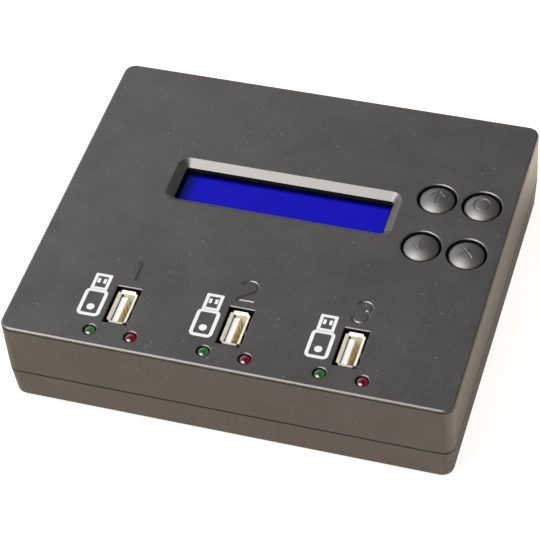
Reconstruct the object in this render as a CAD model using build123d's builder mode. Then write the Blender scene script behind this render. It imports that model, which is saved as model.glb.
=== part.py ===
from build123d import *

import os

# A desk-top drive duplicator: a two-part moulded box with three upright sockets in front,
# a lamp pair under each socket, a sunken display and four round keys behind them.
# The origin is the middle of the footprint, on the plane of the feet. +X is to the right,
# +Y is to the back and +Z is up. Lengths are millimetres.

# Case
case_width = 150.0
case_depth = 128.2
bottom_height = 12.1
top_height = 21.3
corner_radius = 4.0
edge_chamfer = 0.6
side_wall = 2.4
top_wall = 2.5
floor_wall = 2.4
bottom_inset = 0.7
rim_chamfer = 0.3
seam_gap = 0.4
seam_depth = 0.7
lip_height = 1.6
lip_wall = 1.0
lip_clearance = 0.2

# Feet
foot_height = 1.5
foot_size = 10.0
foot_inset_x = 17.0
foot_inset_y = 17.0

# Display window and the bevel round it
window_y = 13.03
window_width = 73.05
window_depth = 15.05
window_radius = 1.2
window_key_gap = 14.025
bevel_width = 2.85
bevel_depth = 1.95
collar_wall = 2.2
collar_clearance = 0.1

# Display module
glass_depth = 4.2
glass_thickness = 1.9
backlight_thickness = 3.2
bezel_sheet = 0.4
bezel_lap = 1.2
bezel_margin = 3.4
bezel_tab_inset = 2.0
module_clearance = 0.1

# Keys
keys_inset_x = 18.8
keys_y = 12.4
key_pitch_x = 15.2
key_pitch_y = 22.05
key_hole_radius = 6.75
key_gap = 0.85
key_recess = 0.7
key_dome = 2.0
key_crown = 2.0
key_travel = 0.4
key_foot_clearance = 0.3

# Key switches
switch_size = 12.0
switch_body_height = 3.5
switch_height = 7.3
switch_floor = 0.8
plunger_width = 3.8
plunger_clearance = 0.05
leg_width = 1.0
leg_sheet = 0.3
leg_inset = 3.0

# Sockets
ports_x = -0.4
ports_inset_y = 18.1
port_pitch = 38.2
port_cut_width = 8.4
port_cut_depth = 15.8
mouth_recess = 1.0
socket_height = 14.0
socket_inner_width = 5.12
socket_inner_depth = 12.5
socket_sheet = 0.3
shell_leg_inset = 1.6
flare_reach = 0.8
flare_rise = 0.55
side_flare_length = 11.0
end_flare_length = 5.0
finger_width = 1.8
finger_length = 6.4
finger_pitch = 5.6
finger_slot = 0.5
finger_press = 0.4
finger_depth = 2.2
finger_lean = 3.8
finger_crest = 1.0
tongue_thickness = 1.84
tongue_depth = 11.1
tongue_gap = 0.66
tongue_recess = 1.3
insulator_base = 3.4
insulator_clearance = 0.05
contact_width = 1.0
contact_sheet = 0.25
contact_bow = 0.45
contact_tip_gap = 1.0
contact_root = 2.1
contact_rise = 2.9
contact_crest = 1.2
inner_contact_pitch = 2.0
outer_contact_pitch = 7.0

# Lamps
lamp_offset_x = 6.9
lamp_drop_y = 12.1
lamp_radius = 2.0
lamp_hole_clearance = 0.2
lamp_recess = 1.0
lamp_dome = 1.1
lamp_body = 4.4
lamp_lead = 0.5
lamp_lead_pitch = 2.54
spacer_width = 4.4
lead_clearance = 0.15

# Boards
board_sheet = 1.6
board_gap = 1.8
lead_overhang = 1.5
control_margin_x = 8.0
header_pins = 8
header_pitch = 2.54
header_pin = 0.64
header_strip = 2.54

# Screws
case_screw_radius = 1.5
case_screw_length = 20.0
case_head_radius = 2.8
case_head_height = 1.8
case_head_recess = 5.5
case_post_radius = 4.0
case_post_inset = 6.0
board_screw_radius = 1.1
board_screw_length = 8.0
board_head_radius = 2.2
board_head_height = 1.5
board_boss_radius = 3.0
screw_fit = 0.03
screw_clearance = 0.2
screw_tip_gap = 0.8
screw_flats = 8

# Power inlet
jack_inset_x = 30.0
jack_width = 9.0
jack_length = 14.0
jack_height = 11.0
jack_axis_height = 6.5
jack_bore_radius = 3.1
jack_bore_depth = 9.5
jack_pin_radius = 1.0
jack_wall_gap = 0.2
jack_hole_radius = 4.2
jack_pin_recess = 0.8
jack_tail_width = 2.0
jack_tail_sheet = 0.4
jack_leaf_length = 7.0
jack_leaf_lean = 4.2
jack_leaf_room = 1.5

# Ribs that hold the board up under each socket
rib_sheet = 1.6
rib_length = 13.0
rib_offset = 5.2
rib_clearance = 0.2

# Parts on the main board
controller_size = 14.0
controller_height = 1.4
controller_x = -12.0
chips_offset_y = 22.0
memory_width = 16.4
memory_depth = 10.0
memory_height = 1.1
memory_offset_x = 30.0
chip_lead_sheet = 0.3
chip_lead_reach = 1.0
chip_lead_inset = 1.0
crystal_width = 5.0
crystal_depth = 3.2
crystal_height = 1.2
crystal_offset_x = 21.0
capacitor_radius = 3.15
capacitor_height = 7.7
capacitor_y = 15.0
regulator_width = 6.5
regulator_depth = 6.0
regulator_height = 2.3
inductor_size = 7.3
inductor_height = 3.4
inductor_chamfer = 1.2
inductor_offset_x = 17.0
inductor_inset_y = 11.7

# Levels
floor_z = foot_height
seam_z = floor_z + bottom_height
top_z = seam_z + top_height
ceiling_z = top_z - top_wall
mouth_z = top_z - mouth_recess
board_top_z = mouth_z - socket_height
board_z = board_top_z - board_sheet
glass_top_z = top_z - glass_depth
glass_z = glass_top_z - glass_thickness
control_top_z = glass_z - backlight_thickness
control_z = control_top_z - board_sheet
switch_top_z = control_top_z + switch_body_height
plunger_top_z = control_top_z + switch_height
key_edge_z = top_z - key_recess
key_foot_z = switch_top_z + key_travel + key_foot_clearance
case_seat_z = floor_z + case_head_recess
case_tip_z = case_seat_z + case_screw_length + screw_tip_gap
board_tip_z = control_z + board_screw_length + screw_tip_gap
lamp_edge_z = top_z - lamp_recess
lamp_foot_z = lamp_edge_z - lamp_body

# Places
inner_width = case_width - 2 * side_wall
inner_depth = case_depth - 2 * side_wall
inner_radius = corner_radius - side_wall
key_radius = key_hole_radius - key_gap
keys_x = case_width / 2 - keys_inset_x
window_x = keys_x - key_pitch_x / 2 - window_key_gap - window_width / 2
port_y = ports_inset_y - case_depth / 2
lamp_hole_radius = lamp_radius + lamp_hole_clearance
post_x = inner_width / 2 - case_post_inset
post_y = inner_depth / 2 - case_post_inset
post_places = [(sx * post_x, sy * post_y) for sx in (-1, 1) for sy in (-1, 1)]
foot_x = case_width / 2 - foot_inset_x
foot_y = case_depth / 2 - foot_inset_y
foot_places = [(sx * foot_x, sy * foot_y) for sx in (-1, 1) for sy in (-1, 1)]
port_xs = [ports_x - port_pitch, ports_x, ports_x + port_pitch]
port_places = [(x, port_y) for x in port_xs]
lamp_y = port_y - lamp_drop_y
green_places = [(x - lamp_offset_x, lamp_y) for x in port_xs]
red_places = [(x + lamp_offset_x, lamp_y) for x in port_xs]
lamp_places = green_places + red_places
key_left = keys_x - key_pitch_x / 2
key_right = keys_x + key_pitch_x / 2
key_front = keys_y - key_pitch_y / 2
key_back = keys_y + key_pitch_y / 2
key_places = {
    "up": (key_left, key_back),
    "select": (key_right, key_back),
    "down": (key_left, key_front),
    "cancel": (key_right, key_front),
}
bezel_width = window_width + 2 * bezel_margin
bezel_depth = window_depth + 2 * bezel_margin
module_width = bezel_width - 2 * (bezel_sheet + module_clearance)
module_depth = bezel_depth - 2 * (bezel_sheet + module_clearance)

# The control board spans from left of the display to right of the keys
control_left = window_x - bezel_width / 2 - control_margin_x
control_right = key_right + switch_size / 2 + leg_width
control_front = key_front - switch_size / 2 - leg_width
control_back = key_back + switch_size / 2 + leg_width
control_screws = [(control_left + board_boss_radius, window_y), (keys_x, keys_y)]

# The main board is clamped between the posts of the two covers
board_width = inner_width - 2 * board_gap
board_depth = inner_depth - 2 * board_gap

# Header between the two boards, under the back edge of the display
header_y = control_back - header_strip
header_places = [
    (window_x + header_pitch * (i - (header_pins - 1) / 2), header_y)
    for i in range(header_pins)
]

# Solder tails of the sockets
contact_ys = [
    port_y - outer_contact_pitch / 2,
    port_y - inner_contact_pitch / 2,
    port_y + inner_contact_pitch / 2,
    port_y + outer_contact_pitch / 2,
]
tongue_face = -socket_inner_width / 2 + tongue_gap + tongue_thickness
shell_width = socket_inner_width + 2 * socket_sheet
shell_depth = socket_inner_depth + 2 * socket_sheet
shell_leg_x = (socket_inner_width + socket_sheet) / 2
shell_leg_y = socket_inner_depth / 2 - shell_leg_inset

# Power inlet, its mouth against the inside of the back wall
jack_x = jack_inset_x - case_width / 2
jack_mouth_y = inner_depth / 2 - jack_wall_gap
jack_axis_z = board_top_z + jack_axis_height
jack_plane = Plane(
    origin=(jack_x, jack_mouth_y, jack_axis_z), x_dir=(1, 0, 0), z_dir=(0, -1, 0)
)

# Parts on the main board
chips_y = port_y + chips_offset_y
crystal_x = controller_x - crystal_offset_x
memory_x = controller_x + memory_offset_x
supply_x = (control_left - inner_width / 2) / 2
inductor_x = jack_x + inductor_offset_x
inductor_y = inner_depth / 2 - inductor_inset_y

os.makedirs("parts", exist_ok=True)


def flats(radius, mode=Mode.ADD):
    """Outline of a small fastener or pin, or of its hole or boss, drawn with a few flats."""
    RegularPolygon(radius, side_count=screw_flats, mode=mode)


# Top cover: a shell open below, with the bevelled window, the key holes, the socket and
# lamp cut-outs, the window collar, the board bosses and the corner posts
with BuildPart() as top_cover:
    with BuildSketch(Plane.XY.offset(seam_z)):
        RectangleRounded(case_width, case_depth, corner_radius)
    extrude(amount=top_height)
    chamfer(top_cover.faces().sort_by(Axis.Z)[-1].edges(), edge_chamfer)
    with BuildSketch(Plane.XY.offset(seam_z)):
        RectangleRounded(inner_width, inner_depth, inner_radius)
    extrude(amount=top_height - top_wall, mode=Mode.SUBTRACT)
    with BuildSketch(Plane.XY.offset(seam_z)):
        RectangleRounded(case_width, case_depth, corner_radius)
        RectangleRounded(
            case_width - 2 * seam_depth,
            case_depth - 2 * seam_depth,
            corner_radius - seam_depth,
            mode=Mode.SUBTRACT,
        )
    extrude(amount=seam_gap, mode=Mode.SUBTRACT)
    # Corner posts down to the main board, and bosses for the control board
    with BuildSketch(Plane.XY.offset(board_top_z)):
        with Locations(*post_places):
            flats(case_post_radius)
    extrude(amount=ceiling_z - board_top_z)
    with BuildSketch(Plane.XY.offset(control_top_z)):
        with Locations(*control_screws):
            flats(board_boss_radius)
    extrude(amount=ceiling_z - control_top_z)
    # Collar that reaches down to the display bezel
    collar_z = glass_top_z + bezel_sheet + collar_clearance
    with BuildSketch(Plane.XY.offset(collar_z)):
        with Locations((window_x, window_y)):
            Rectangle(window_width + 2 * collar_wall, window_depth + 2 * collar_wall)
    extrude(amount=ceiling_z - collar_z)
    # Window, with its sloping bevel
    with BuildSketch(Plane.XY.offset(collar_z)):
        with Locations((window_x, window_y)):
            RectangleRounded(window_width, window_depth, window_radius)
    extrude(amount=top_z - collar_z, mode=Mode.SUBTRACT)
    top_face = top_cover.faces().filter_by(Plane.XY).sort_by(Axis.Z)[-1]
    chamfer(
        top_face.inner_wires()[0].edges(),
        length=bevel_width,
        length2=bevel_depth,
        reference=top_face,
    )
    # Socket cut-outs with a small chamfer, and the round holes of the keys and lamps
    with BuildSketch(Plane.XY.offset(ceiling_z)):
        with Locations(*port_places):
            Rectangle(port_cut_width, port_cut_depth)
    extrude(amount=top_wall, mode=Mode.SUBTRACT)
    rims = top_cover.faces().filter_by(Plane.XY).sort_by(Axis.Z)[-1].inner_wires()
    socket_rims = rims.sort_by(SortBy.LENGTH)[:-1]
    chamfer([edge for rim in socket_rims for edge in rim.edges()], rim_chamfer)
    with BuildSketch(Plane.XY.offset(ceiling_z)):
        with Locations(*key_places.values()):
            Circle(key_hole_radius)
        with Locations(*lamp_places):
            Circle(lamp_hole_radius)
    extrude(amount=top_wall, mode=Mode.SUBTRACT)
    # Pilot holes in the posts and bosses
    with BuildSketch(Plane.XY.offset(board_top_z)):
        with Locations(*post_places):
            flats(case_screw_radius + screw_fit)
    extrude(amount=case_tip_z - board_top_z, mode=Mode.SUBTRACT)
    with BuildSketch(Plane.XY.offset(control_top_z)):
        with Locations(*control_screws):
            flats(board_screw_radius + screw_fit)
    extrude(amount=board_tip_z - control_top_z, mode=Mode.SUBTRACT)
    # Round opening for the power plug in the back wall
    with BuildSketch(jack_plane):
        Circle(jack_hole_radius)
    extrude(amount=-(side_wall + jack_wall_gap), mode=Mode.SUBTRACT)
top_cover.part.label = "top_cover"
export_step(top_cover.part, "parts/top_cover.step")

# Bottom cover: a tray that draws in towards its floor, with a lip that stands inside the
# top cover, screw posts up to the main board and ribs under the sockets
with BuildPart() as bottom_cover:
    with BuildSketch(Plane.XY.offset(floor_z)):
        RectangleRounded(
            case_width - 2 * bottom_inset,
            case_depth - 2 * bottom_inset,
            corner_radius - bottom_inset,
        )
    with BuildSketch(Plane.XY.offset(seam_z)):
        RectangleRounded(case_width, case_depth, corner_radius)
    loft()
    with BuildSketch(Plane.XY.offset(floor_z + floor_wall)):
        Rectangle(inner_width - 2 * bottom_inset, inner_depth - 2 * bottom_inset)
    with BuildSketch(Plane.XY.offset(seam_z)):
        Rectangle(inner_width, inner_depth)
    loft(mode=Mode.SUBTRACT)
    # Lip, rooted on the inside of the wall
    lip_width = inner_width - 2 * lip_clearance
    lip_depth = inner_depth - 2 * lip_clearance
    with BuildSketch(Plane.XY.offset(seam_z - lip_height)):
        Rectangle(inner_width, inner_depth)
        Rectangle(lip_width - 2 * lip_wall, lip_depth - 2 * lip_wall, mode=Mode.SUBTRACT)
    extrude(amount=lip_height)
    with BuildSketch(Plane.XY.offset(seam_z)):
        RectangleRounded(lip_width, lip_depth, inner_radius - lip_clearance)
        Rectangle(lip_width - 2 * lip_wall, lip_depth - 2 * lip_wall, mode=Mode.SUBTRACT)
    extrude(amount=lip_height)
    # Screw posts
    with BuildSketch(Plane.XY.offset(floor_z + floor_wall / 2)):
        with Locations(*post_places):
            flats(case_post_radius)
    extrude(amount=board_z - floor_z - floor_wall / 2)
    # Ribs on both sides of each socket
    rib_places = [(x + side * rib_offset, port_y) for x in port_xs for side in (-1, 1)]
    with BuildSketch(Plane.XY.offset(floor_z + floor_wall / 2)):
        with Locations(*rib_places):
            Rectangle(rib_sheet, rib_length)
    extrude(amount=board_z - rib_clearance - floor_z - floor_wall / 2)
    # Screw seats and screw holes
    with BuildSketch(Plane.XY.offset(floor_z)):
        with Locations(*post_places):
            flats(case_head_radius + screw_clearance)
    extrude(amount=case_head_recess, mode=Mode.SUBTRACT)
    with BuildSketch(Plane.XY.offset(floor_z)):
        with Locations(*post_places):
            flats(case_screw_radius + screw_clearance)
    extrude(amount=board_z - floor_z, mode=Mode.SUBTRACT)
bottom_cover.part.label = "bottom_cover"
export_step(bottom_cover.part, "parts/bottom_cover.step")


# Rubber feet, glued on
with BuildPart() as rubber_feet:
    with BuildSketch(Plane.XY):
        with Locations(*foot_places):
            Rectangle(foot_size, foot_size)
    extrude(amount=foot_height)
rubber_feet.part.label = "rubber_feet"
export_step(rubber_feet.part, "parts/rubber_feet.step")


def screw_set(places, seat_z, head_radius, head_height, shank_radius, length):
    """Like screws, driven upwards, their heads below the seat."""
    with BuildPart() as screws:
        with BuildSketch(Plane.XY.offset(seat_z - head_height)):
            with Locations(*places):
                flats(head_radius)
        extrude(amount=head_height)
        with BuildSketch(Plane.XY.offset(seat_z)):
            with Locations(*places):
                flats(shank_radius)
        extrude(amount=length)
    return screws


# Case screws through the bottom posts and the main board into the top cover, and the
# screws of the control board
case_screws = screw_set(
    post_places,
    case_seat_z,
    case_head_radius,
    case_head_height,
    case_screw_radius,
    case_screw_length,
)
case_screws.part.label = "case_screws"
export_step(case_screws.part, "parts/case_screws.step")

panel_screws = screw_set(
    control_screws,
    control_z,
    board_head_radius,
    board_head_height,
    board_screw_radius,
    board_screw_length,
)
panel_screws.part.label = "control_board_screws"
export_step(panel_screws.part, "parts/control_board_screws.step")


# Main board, drilled for every tail, leg and screw
tail_x = tongue_face + contact_sheet / 2
tail_places = [(x + tail_x, y) for x in port_xs for y in contact_ys]
shell_leg_places = [
    (x + side * shell_leg_x, port_y + end * shell_leg_y)
    for x in port_xs
    for side in (-1, 1)
    for end in (-1, 1)
]
lead_places = [
    (x + side * lamp_lead_pitch / 2, y) for x, y in lamp_places for side in (-1, 1)
]
jack_pin_tail_y = jack_mouth_y - jack_length - jack_tail_sheet / 2
jack_leaf_tail_y = jack_mouth_y - jack_bore_depth + jack_tail_sheet / 2
with BuildPart() as main_board:
    with BuildSketch(Plane.XY.offset(board_z)):
        Rectangle(board_width, board_depth)
        with Locations(*post_places):
            flats(case_screw_radius + screw_clearance, Mode.SUBTRACT)
        with Locations(*tail_places):
            Rectangle(
                contact_sheet + 2 * lead_clearance,
                contact_width + 2 * lead_clearance,
                mode=Mode.SUBTRACT,
            )
        with Locations(*shell_leg_places):
            Rectangle(
                socket_sheet + 2 * lead_clearance,
                leg_width + 2 * lead_clearance,
                mode=Mode.SUBTRACT,
            )
        with Locations(*lead_places):
            Rectangle(
                lamp_lead + 2 * lead_clearance,
                lamp_lead + 2 * lead_clearance,
                mode=Mode.SUBTRACT,
            )
        with Locations(*header_places):
            Rectangle(
                header_pin + 2 * lead_clearance,
                header_pin + 2 * lead_clearance,
                mode=Mode.SUBTRACT,
            )
        with Locations((jack_x, jack_pin_tail_y), (jack_x, jack_leaf_tail_y)):
            Rectangle(
                jack_tail_width + 2 * lead_clearance,
                jack_tail_sheet + 2 * lead_clearance,
                mode=Mode.SUBTRACT,
            )
    extrude(amount=board_sheet)
main_board.part.label = "main_board"
export_step(main_board.part, "parts/main_board.step")


def plane_along_x(x, y):
    """Upright plane through a place, seen from the front: its own x is +X, its y is +Z."""
    return Plane(origin=(x, y, 0), x_dir=(1, 0, 0), z_dir=(0, -1, 0))


def plane_along_y(x, y):
    """Upright plane through a place, seen from the right: its own x is +Y, its y is +Z."""
    return Plane(origin=(x, y, 0), x_dir=(0, 1, 0), z_dir=(1, 0, 0))


def bent_strip(line, sheet, side):
    """Outline of a thin bent sheet: a line and its copy one sheet further out."""
    outer = [(u + sheet, v) for u, v in reversed(line)]
    return [(side * u, v) for u, v in line + outer]


# Sockets: a formed steel shell with flared lips, spring fingers and board legs, a plastic
# tongue on a solid base, and four sprung contacts along the face of the tongue
straight_top_z = mouth_z - flare_rise
finger_top_z = mouth_z - finger_depth
finger_line = [
    (0, finger_top_z),
    (-finger_press, finger_top_z - finger_lean),
    (-finger_press, finger_top_z - finger_lean - finger_crest),
    (-finger_press / 2, finger_top_z - finger_length),
]
finger_ys = [port_y - finger_pitch / 2, port_y + finger_pitch / 2]
for number, port_x in enumerate(port_xs, start=1):
    with BuildPart() as usb_shell:
        with BuildSketch(Plane.XY.offset(board_top_z)):
            with Locations((port_x, port_y)):
                Rectangle(shell_width, shell_depth)
                Rectangle(socket_inner_width, socket_inner_depth, mode=Mode.SUBTRACT)
        extrude(amount=straight_top_z - board_top_z)
        # Windows of the spring fingers, cut through both long walls
        finger_mid_z = finger_top_z - finger_length / 2 - finger_slot / 2
        with BuildSketch(Plane.YZ.offset(port_x)):
            with Locations(*[(y, finger_mid_z) for y in finger_ys]):
                Rectangle(finger_width + 2 * finger_slot, finger_length + finger_slot)
        extrude(amount=shell_width, both=True, mode=Mode.SUBTRACT)
        for side in (-1, 1):
            # Fingers, rooted above and leaning inwards
            finger = [(u + socket_inner_width / 2, v) for u, v in finger_line]
            for y in finger_ys:
                with BuildSketch(plane_along_x(port_x, y)):
                    with BuildLine():
                        Polyline(*bent_strip(finger, socket_sheet, side), close=True)
                    make_face()
                extrude(amount=finger_width / 2, both=True)
            # Flared lips of the long walls and of the ends
            lip = [
                (socket_inner_width / 2, straight_top_z),
                (socket_inner_width / 2 + flare_reach, mouth_z),
            ]
            with BuildSketch(plane_along_x(port_x, port_y)):
                with BuildLine():
                    Polyline(*bent_strip(lip, socket_sheet, side), close=True)
                make_face()
            extrude(amount=side_flare_length / 2, both=True)
            lip = [
                (socket_inner_depth / 2, straight_top_z),
                (socket_inner_depth / 2 + flare_reach, mouth_z),
            ]
            with BuildSketch(plane_along_y(port_x, port_y)):
                with BuildLine():
                    Polyline(*bent_strip(lip, socket_sheet, side), close=True)
                make_face()
            extrude(amount=end_flare_length / 2, both=True)
        # Legs through the board
        with BuildSketch(Plane.XY.offset(board_z - lead_overhang)):
            for leg_x, leg_y in shell_leg_places:
                if abs(leg_x - port_x) < port_pitch / 2:
                    with Locations((leg_x, leg_y)):
                        Rectangle(socket_sheet, leg_width)
        extrude(amount=board_sheet + lead_overhang)
    usb_shell.part.label = f"usb_shell_{number}"
    export_step(usb_shell.part, f"parts/usb_shell_{number}.step")

    with BuildPart() as usb_tongue:
        with BuildSketch(Plane.XY.offset(board_top_z)):
            with Locations((port_x, port_y)):
                Rectangle(
                    socket_inner_width - 2 * insulator_clearance,
                    socket_inner_depth - 2 * insulator_clearance,
                )
        extrude(amount=insulator_base)
        with BuildSketch(Plane.XY.offset(board_top_z)):
            with Locations((port_x + tongue_face - tongue_thickness / 2, port_y)):
                Rectangle(tongue_thickness, tongue_depth)
        extrude(amount=mouth_z - tongue_recess - board_top_z)
        chamfer(usb_tongue.faces().sort_by(Axis.Z)[-1].edges(), rim_chamfer)
        with BuildSketch(Plane.XY.offset(board_top_z)):
            with Locations(*[(port_x + tail_x, y) for y in contact_ys]):
                Rectangle(contact_sheet, contact_width + 2 * insulator_clearance)
        extrude(amount=insulator_base, mode=Mode.SUBTRACT)
    usb_tongue.part.label = f"usb_tongue_{number}"
    export_step(usb_tongue.part, f"parts/usb_tongue_{number}.step")

    base_top_z = board_top_z + insulator_base
    contact_tip_z = mouth_z - tongue_recess - contact_tip_gap
    rise_z = base_top_z + contact_root
    contact_line = [
        (0, board_z - lead_overhang),
        (0, rise_z),
        (contact_bow, rise_z + contact_rise),
        (contact_bow, rise_z + contact_rise + contact_crest),
        (0, contact_tip_z),
    ]
    with BuildPart() as usb_contacts:
        for y in contact_ys:
            with BuildSketch(plane_along_x(port_x + tongue_face, y)):
                with BuildLine():
                    Polyline(*bent_strip(contact_line, contact_sheet, 1), close=True)
                make_face()
            extrude(amount=contact_width / 2, both=True)
    usb_contacts.part.label = f"usb_contacts_{number}"
    export_step(usb_contacts.part, f"parts/usb_contacts_{number}.step")


# Lamps: tinted bodies that narrow to their tip, each on a black spacer
for colour, places in (("green", green_places), ("red", red_places)):
    with BuildPart() as lamps:
        with BuildSketch(Plane.XY.offset(lamp_foot_z)):
            with Locations(*places):
                Circle(lamp_radius)
        extrude(amount=lamp_body + lamp_dome)
        chamfer(lamps.edges().group_by(Axis.Z)[-1], lamp_dome)
    lamps.part.label = f"{colour}_lamps"
    export_step(lamps.part, f"parts/{colour}_lamps.step")

with BuildPart() as lamp_spacers:
    with BuildSketch(Plane.XY.offset(board_top_z)):
        with Locations(*lamp_places):
            Rectangle(spacer_width, spacer_width)
        with Locations(*lead_places):
            Rectangle(
                lamp_lead + 2 * lead_clearance,
                lamp_lead + 2 * lead_clearance,
                mode=Mode.SUBTRACT,
            )
    extrude(amount=lamp_foot_z - board_top_z)
lamp_spacers.part.label = "lamp_spacers"
export_step(lamp_spacers.part, "parts/lamp_spacers.step")

with BuildPart() as lamp_leads:
    with BuildSketch(Plane.XY.offset(board_z - lead_overhang)):
        with Locations(*lead_places):
            Rectangle(lamp_lead, lamp_lead)
    extrude(amount=lamp_foot_z - board_z + lead_overhang)
lamp_leads.part.label = "lamp_leads"
export_step(lamp_leads.part, "parts/lamp_leads.step")


# Control board, which carries the display and the key switches
control_width = control_right - control_left
control_depth = control_back - control_front
control_centre = ((control_left + control_right) / 2, (control_front + control_back) / 2)
bezel_tab_x = bezel_width / 2 - bezel_tab_inset
bezel_tab_y = (bezel_depth - bezel_sheet) / 2
bezel_tabs = [
    (window_x + sx * bezel_tab_x, window_y + sy * bezel_tab_y)
    for sx in (-1, 1)
    for sy in (-1, 1)
]
switch_leg_x = switch_size / 2 - leg_sheet
switch_leg_y = switch_size / 2 - leg_inset
switch_legs = [
    (x + sx * switch_leg_x, y + sy * switch_leg_y)
    for x, y in key_places.values()
    for sx in (-1, 1)
    for sy in (-1, 1)
]
with BuildPart() as control_board:
    with BuildSketch(Plane.XY.offset(control_z)):
        with Locations(control_centre):
            Rectangle(control_width, control_depth)
        with Locations(*control_screws):
            flats(board_screw_radius + screw_clearance, Mode.SUBTRACT)
        with Locations(*header_places):
            Rectangle(
                header_pin + 2 * lead_clearance,
                header_pin + 2 * lead_clearance,
                mode=Mode.SUBTRACT,
            )
        with Locations(*bezel_tabs):
            Rectangle(
                leg_width + 2 * lead_clearance,
                bezel_sheet + 2 * lead_clearance,
                mode=Mode.SUBTRACT,
            )
        with Locations(*switch_legs):
            Rectangle(
                leg_sheet + 2 * lead_clearance,
                leg_width + 2 * lead_clearance,
                mode=Mode.SUBTRACT,
            )
    extrude(amount=board_sheet)
control_board.part.label = "control_board"
export_step(control_board.part, "parts/control_board.step")

# Header between the boards: a plastic strip on the main board and its square pins
with BuildPart() as header_strip_body:
    with BuildSketch(Plane.XY.offset(board_top_z)):
        with Locations((window_x, header_y)):
            Rectangle(header_pins * header_pitch, header_strip)
        with Locations(*header_places):
            Rectangle(header_pin, header_pin, mode=Mode.SUBTRACT)
    extrude(amount=header_strip)
header_strip_body.part.label = "header_strip"
export_step(header_strip_body.part, "parts/header_strip.step")

with BuildPart() as header_pin_row:
    with BuildSketch(Plane.XY.offset(board_z - lead_overhang)):
        with Locations(*header_places):
            Rectangle(header_pin, header_pin)
    extrude(amount=control_top_z - board_z + 2 * lead_overhang)
header_pin_row.part.label = "header_pins"
export_step(header_pin_row.part, "parts/header_pins.step")


# Display module: a folded sheet bezel over the glass, the backlight and two contact strips
with BuildPart() as display_bezel:
    with BuildSketch(Plane.XY.offset(control_top_z)):
        with Locations((window_x, window_y)):
            Rectangle(bezel_width, bezel_depth)
    extrude(amount=glass_top_z + bezel_sheet - control_top_z)
    with BuildSketch(Plane.XY.offset(control_top_z)):
        with Locations((window_x, window_y)):
            Rectangle(bezel_width - 2 * bezel_sheet, bezel_depth - 2 * bezel_sheet)
    extrude(amount=glass_top_z - control_top_z, mode=Mode.SUBTRACT)
    with BuildSketch(Plane.XY.offset(glass_top_z)):
        with Locations((window_x, window_y)):
            Rectangle(window_width + 2 * bezel_lap, window_depth + 2 * bezel_lap)
    extrude(amount=bezel_sheet, mode=Mode.SUBTRACT)
    with BuildSketch(Plane.XY.offset(control_z - bezel_sheet)):
        with Locations(*bezel_tabs):
            Rectangle(leg_width, bezel_sheet)
    extrude(amount=board_sheet + bezel_sheet)
display_bezel.part.label = "display_bezel"
export_step(display_bezel.part, "parts/display_bezel.step")

with BuildPart() as display_glass:
    with BuildSketch(Plane.XY.offset(glass_z)):
        with Locations((window_x, window_y)):
            Rectangle(module_width, module_depth)
    extrude(amount=glass_thickness)
display_glass.part.label = "display_glass"
export_step(display_glass.part, "parts/display_glass.step")

strip_y = (module_depth - header_strip) / 2
with BuildPart() as contact_strips:
    with BuildSketch(Plane.XY.offset(control_top_z)):
        with Locations((window_x, window_y - strip_y), (window_x, window_y + strip_y)):
            Rectangle(module_width, header_strip)
    extrude(amount=backlight_thickness)
contact_strips.part.label = "contact_strips"
export_step(contact_strips.part, "parts/contact_strips.step")

with BuildPart() as display_backlight:
    with BuildSketch(Plane.XY.offset(control_top_z)):
        with Locations((window_x, window_y)):
            Rectangle(
                module_width,
                module_depth - 2 * (header_strip + module_clearance),
            )
    extrude(amount=backlight_thickness)
display_backlight.part.label = "display_backlight"
export_step(display_backlight.part, "parts/display_backlight.step")


def dome_outline(radius, edge_z, height, crown):
    """Points up a round dome with a small flat crown, drawn as two sloping rings."""
    drop = (radius**2 - crown**2 - height**2) / (2 * height)
    sphere = (radius**2 + drop**2) ** 0.5
    middle = (radius + crown) / 2
    middle_z = edge_z + (sphere**2 - middle**2) ** 0.5 - drop
    crown_z = edge_z + height
    return [(radius, edge_z), (middle, middle_z), (crown, crown_z), (0, crown_z)]


# Keys: a domed cap pushed on the square plunger of its switch
socket_width = plunger_width + 2 * plunger_clearance
plunger_foot_z = control_top_z + switch_floor + key_travel
for key, (x, y) in key_places.items():
    with BuildPart() as cap:
        with BuildSketch(plane_along_x(x, y)):
            with BuildLine():
                Polyline(
                    (0, key_foot_z),
                    (key_radius, key_foot_z),
                    *dome_outline(key_radius, key_edge_z, key_dome, key_crown),
                    close=True,
                )
            make_face()
        revolve(axis=Axis((x, y, 0), (0, 0, 1)))
        with BuildSketch(Plane.XY.offset(key_foot_z)):
            with Locations((x, y)):
                Rectangle(socket_width, socket_width)
        extrude(amount=plunger_top_z - key_foot_z, mode=Mode.SUBTRACT)
    cap.part.label = f"{key}_key"
    export_step(cap.part, f"parts/{key}_key.step")

    with BuildPart() as plunger:
        with BuildSketch(Plane.XY.offset(plunger_foot_z)):
            with Locations((x, y)):
                Rectangle(plunger_width, plunger_width)
        extrude(amount=plunger_top_z - plunger_foot_z)
    plunger.part.label = f"{key}_plunger"
    export_step(plunger.part, f"parts/{key}_plunger.step")

    with BuildPart() as switch:
        with BuildSketch(Plane.XY.offset(control_top_z)):
            with Locations((x, y)):
                Rectangle(switch_size, switch_size)
        extrude(amount=switch_body_height)
        chamfer(switch.faces().sort_by(Axis.Z)[-1].edges(), rim_chamfer)
        with BuildSketch(Plane.XY.offset(control_top_z + switch_floor)):
            with Locations((x, y)):
                Rectangle(socket_width, socket_width)
        extrude(amount=switch_body_height, mode=Mode.SUBTRACT)
    switch.part.label = f"{key}_switch"
    export_step(switch.part, f"parts/{key}_switch.step")

with BuildPart() as switch_leg_set:
    with BuildSketch(Plane.XY.offset(control_z - lead_overhang)):
        with Locations(*switch_legs):
            Rectangle(leg_sheet, leg_width)
    extrude(amount=board_sheet + lead_overhang)
switch_leg_set.part.label = "switch_legs"
export_step(switch_leg_set.part, "parts/switch_legs.step")


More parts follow.
